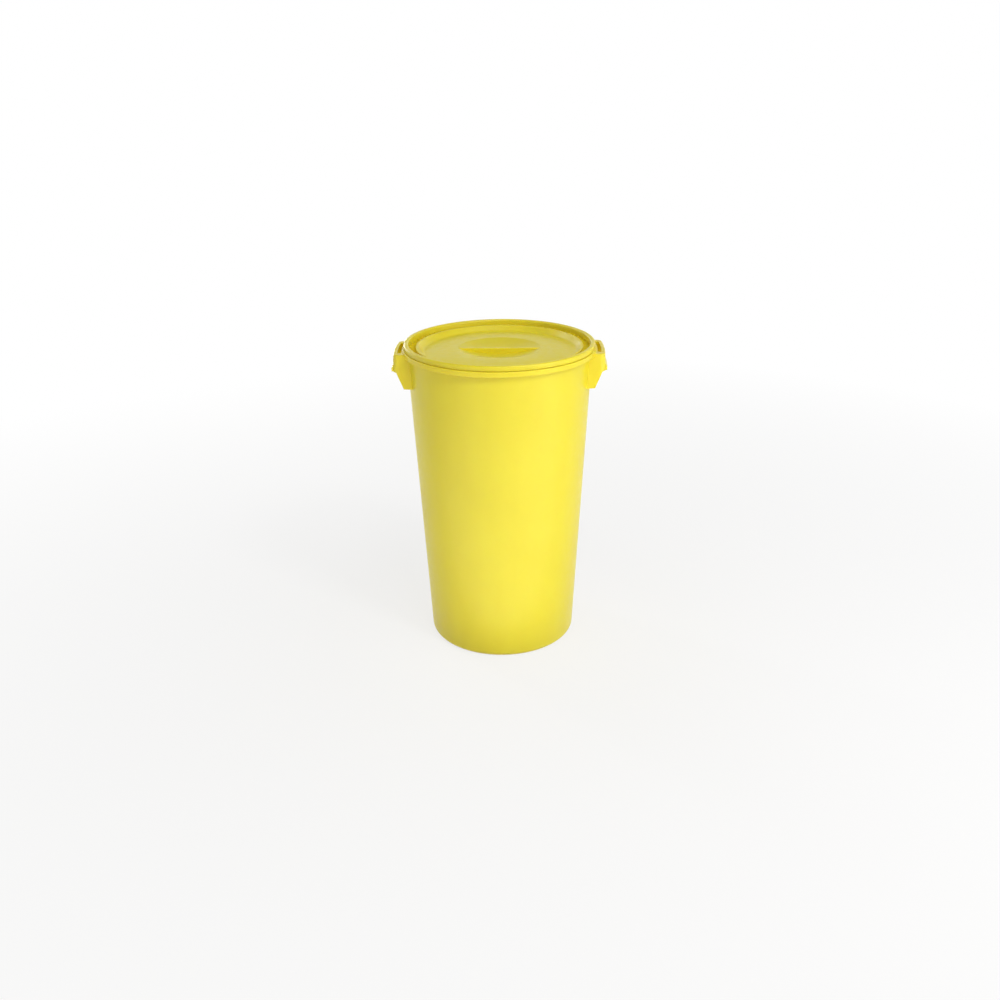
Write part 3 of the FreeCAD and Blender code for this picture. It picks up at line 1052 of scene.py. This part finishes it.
@dataclass(frozen=True)
class Studio:
    """The pale floor, the lamps and the camera at the photo's viewing angle."""

    distance: float = 2.0777
    camera_height: float = 1.1934
    turn: float = 1.17
    shift_side: float = -0.0027
    pitch: float = 23.12
    roll: float = 0.7
    focal_pixels: float = 1015.0
    frame_pixels: float = 1000.0
    sensor_width: float = 36.0
    ambient: float = 0.36
    ambient_tint: Place = (1.0, 0.97, 0.92)
    horizon: float = 1.0
    zenith: float = 0.25
    zenith_rise: Point = (0.25, 0.6)
    floor_size: float = 60.0
    floor_tone: float = 0.8
    fade_reach: Point = (0.4, 2.4)
    fade_share: Point = (0.75, 1.0)

    def camera(self) -> None:
        """Make the scene's camera."""
        data = bpy.data.cameras.new("photo_camera")
        data.sensor_width = self.sensor_width
        data.lens = data.sensor_width * self.focal_pixels / self.frame_pixels
        camera = bpy.data.objects.new("photo_camera", data)
        bpy.context.scene.collection.objects.link(camera)
        around = Matrix.Rotation(math.radians(self.turn), 4, "Z")
        place = Matrix.Translation((self.shift_side, -self.distance, self.camera_height))
        tilt = Matrix.Rotation(math.radians(90.0 - self.pitch), 4, "X")
        lean = Matrix.Rotation(math.radians(-self.roll), 4, "Z")
        camera.matrix_world = around @ place @ tilt @ lean
        bpy.context.scene.camera = camera

    def seen(self, nodes: Nodes) -> Socket:
        """A value of 1 for rays that see the background, and 0 for those that light the bin."""
        path = nodes.add("LightPath").outputs
        either = nodes.maths("MAXIMUM", path["Is Camera Ray"], path["Is Glossy Ray"])
        return nodes.maths("MAXIMUM", either, path["Is Transmission Ray"])

    def world(self) -> None:
        """Even, dim light from all round, white to the camera and fading upwards in reflections."""
        world = bpy.data.worlds.new("studio")
        world.use_nodes = True
        world.node_tree.nodes.clear()
        nodes = Nodes(world.node_tree)
        height = nodes.add("SeparateXYZ")
        nodes.join(nodes.add("NewGeometry").outputs["Incoming"], height.inputs[0])
        rise = nodes.maths("ABSOLUTE", height.outputs["Z"])
        mirrored = nodes.ranged(rise, self.zenith_rise, (self.horizon, self.zenith))
        bright = nodes.blend(nodes.add("LightPath").outputs["Is Glossy Ray"], 1.0, mirrored)
        tint = nodes.add("Mix", data_type="RGBA")
        tint.inputs["A"].default_value = (*self.ambient_tint, 1.0)
        tint.inputs["B"].default_value = (1.0, 1.0, 1.0, 1.0)
        nodes.join(self.seen(nodes), tint.inputs["Factor"])
        back = nodes.add("Background")
        nodes.join(tint.outputs["Result"], back.inputs["Color"])
        nodes.join(nodes.blend(self.seen(nodes), self.ambient, bright), back.inputs["Strength"])
        nodes.join(back.outputs[0], nodes.add("OutputWorld").inputs["Surface"])
        bpy.context.scene.world = world

    def floor(self) -> None:
        """The pale floor, which keeps the bin's shadow and fades into the white round it."""
        mesh = bmesh.new()
        bmesh.ops.create_grid(mesh, x_segments=1, y_segments=1, size=self.floor_size / 2)
        floor = solid("floor", mesh)
        finish = bpy.data.materials.new("pale_floor")
        finish.use_nodes = True
        finish.node_tree.nodes.clear()
        nodes = Nodes(finish.node_tree)
        lit = nodes.add("BsdfDiffuse")
        lit.inputs["Color"].default_value = (self.floor_tone, self.floor_tone, self.floor_tone, 1.0)
        white = nodes.add("Emission")
        away = nodes.add("VectorMath", operation="LENGTH")
        nodes.join(nodes.add("TexCoord").outputs["Object"], away.inputs[0])
        share = nodes.ranged(away.outputs["Value"], self.fade_reach, self.fade_share)
        mix = nodes.add("MixShader")
        nodes.join(nodes.maths("MULTIPLY", share, self.seen(nodes)), mix.inputs[0])
        nodes.join(lit.outputs[0], mix.inputs[1])
        nodes.join(white.outputs[0], mix.inputs[2])
        nodes.join(mix.outputs[0], nodes.add("OutputMaterial").inputs["Surface"])
        floor.data.materials.append(finish)

    def build(self) -> None:
        """Set up the whole studio."""
        bpy.context.scene.view_settings.view_transform = "Standard"
        self.camera()
        self.world()
        self.floor()
        for lamp in LAMPS:
            lamp.make()


def main() -> None:
    """Build the studio, the tub and the lid, and hang each piece on its body."""
    logging.basicConfig(level=logging.INFO, format="%(name)s: %(message)s")
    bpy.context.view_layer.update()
    Studio().build()
    tub_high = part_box("tub")[1]
    lid_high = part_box("lid")[1]
    tub_sizes = Tub(height=tub_high.z / MM)
    tub = tub_sizes.build(Handle(reach=tub_high.x / MM, tub=tub_sizes))
    lid = Lid(crest=lid_high.z / MM, tub=tub_sizes).build()
    skin = Skin("moulded_skin").make()
    yellow = Plastic("yellow_polyethylene", deep=(0.85, 0.70, 0.024), pale=(0.88, 0.735, 0.03),
                     smooth=0.32, hazy=0.42, relief=0.0004).make(skin)
    for piece, node in ((tub, "tub"), (lid, "lid")):
        piece.data.materials.clear()
        piece.data.materials.append(yellow)
        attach(piece, node)
        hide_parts(node)
        LOG.info("%s: %d faces", piece.name, len(piece.data.polygons))


if __name__ == "__main__":
    main()
